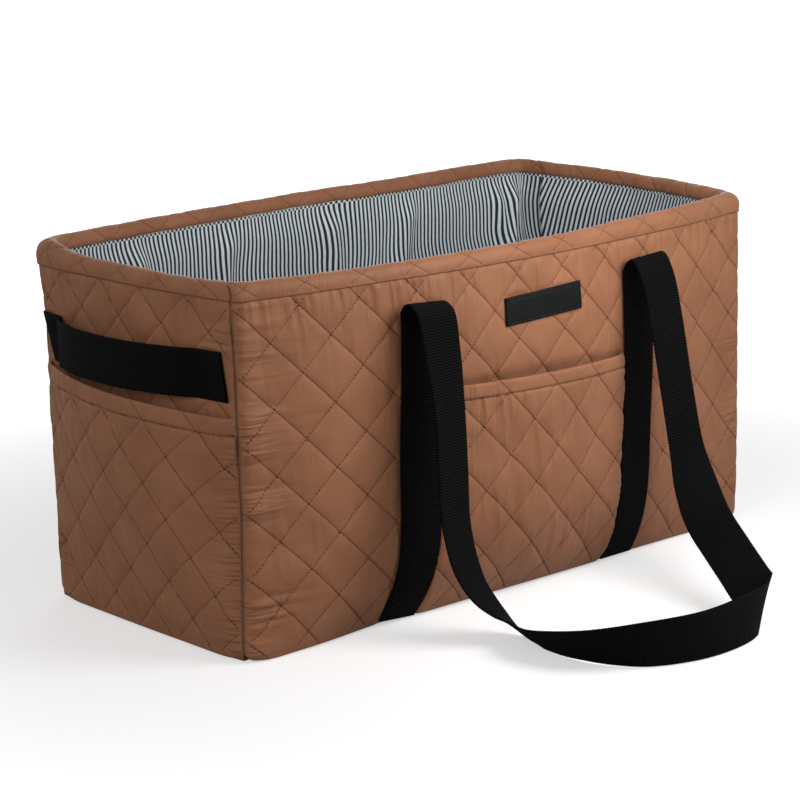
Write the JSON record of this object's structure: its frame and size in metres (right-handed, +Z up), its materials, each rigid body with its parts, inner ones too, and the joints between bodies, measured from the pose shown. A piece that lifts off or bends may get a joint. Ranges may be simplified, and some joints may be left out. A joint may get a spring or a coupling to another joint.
{
  "type": "quilted tote bag",
  "caption": "Open quilted tote bag with folded-over rim, striped lining, webbing carrying handles, end grab handles, front patch pocket and elastic end pockets.",
  "frame": {"origin": "middle of the flat base, on the ground", "axes": "+Z up, -Y out of the front wall with the label, +X towards the right end seen from the front"},
  "size_m": [0.615, 0.7191, 0.298],
  "materials": {
    "quilted_shell": "soft satin, quilted in diamonds",
    "striped_lining": "matte ticking, fine dark stripes",
    "foam": "matte wadding",
    "base_board": "matte",
    "webbing": "matte ribbed weave",
    "elastic": "matte knit",
    "label_leather": "fine grain"
  },
  "bodies": {
    "bag": {"base_panel": "quilted_shell", "base_board": "base_board", "base_lining": "striped_lining", "front_panel": "quilted_shell", "front_foam": "foam", "front_lining": "striped_lining", "right_end_panel": "quilted_shell", "right_end_foam": "foam", "right_end_lining": "striped_lining", "back_panel": "quilted_shell", "back_foam": "foam", "back_lining": "striped_lining", "left_end_panel": "quilted_shell", "left_end_foam": "foam", "left_end_lining": "striped_lining", "rim_roll": "quilted_shell", "front_pocket": "quilted_shell", "front_pocket_binding": "quilted_shell", "label_patch": "label_leather", "front_strap_left": "webbing", "front_strap_right": "webbing", "back_strap_right": "webbing", "back_strap_left": "webbing", "left_end_pocket": "quilted_shell", "left_end_pocket_hem": "quilted_shell", "left_end_pocket_elastic": "elastic", "left_end_grab_tab_back": "webbing", "left_end_grab_tab_front": "webbing", "right_end_pocket": "quilted_shell", "right_end_pocket_hem": "quilted_shell", "right_end_pocket_elastic": "elastic", "right_end_grab_tab_front": "webbing", "right_end_grab_tab_back": "webbing"},
    "front_handle": {"front_handle": "webbing"},
    "back_handle": {"back_handle": "webbing"},
    "left_grab": {"left_end_grab_handle": "webbing"},
    "right_grab": {"right_end_grab_handle": "webbing"}
  },
  "joints": [
    {"name": "front_handle_swing", "type": "hinge", "parent": "bag", "child": "front_handle", "pos_m": [0, -0.16709, 0.252], "axis": [-1, 0, 0], "range_deg": [0, 160]},
    {"name": "back_handle_swing", "type": "hinge", "parent": "bag", "child": "back_handle", "pos_m": [0, 0.15139, 0.252], "axis": [1, 0, 0], "range_deg": [0, 160]},
    {"name": "left_grab_swing", "type": "hinge", "parent": "bag", "child": "left_grab", "pos_m": [-0.28447, 0, 0.24], "axis": [0, 1, 0], "range_deg": [0, 60]},
    {"name": "right_grab_swing", "type": "hinge", "parent": "bag", "child": "right_grab", "pos_m": [0.28447, 0, 0.24], "axis": [0, -1, 0], "range_deg": [0, 60]}
  ]
}
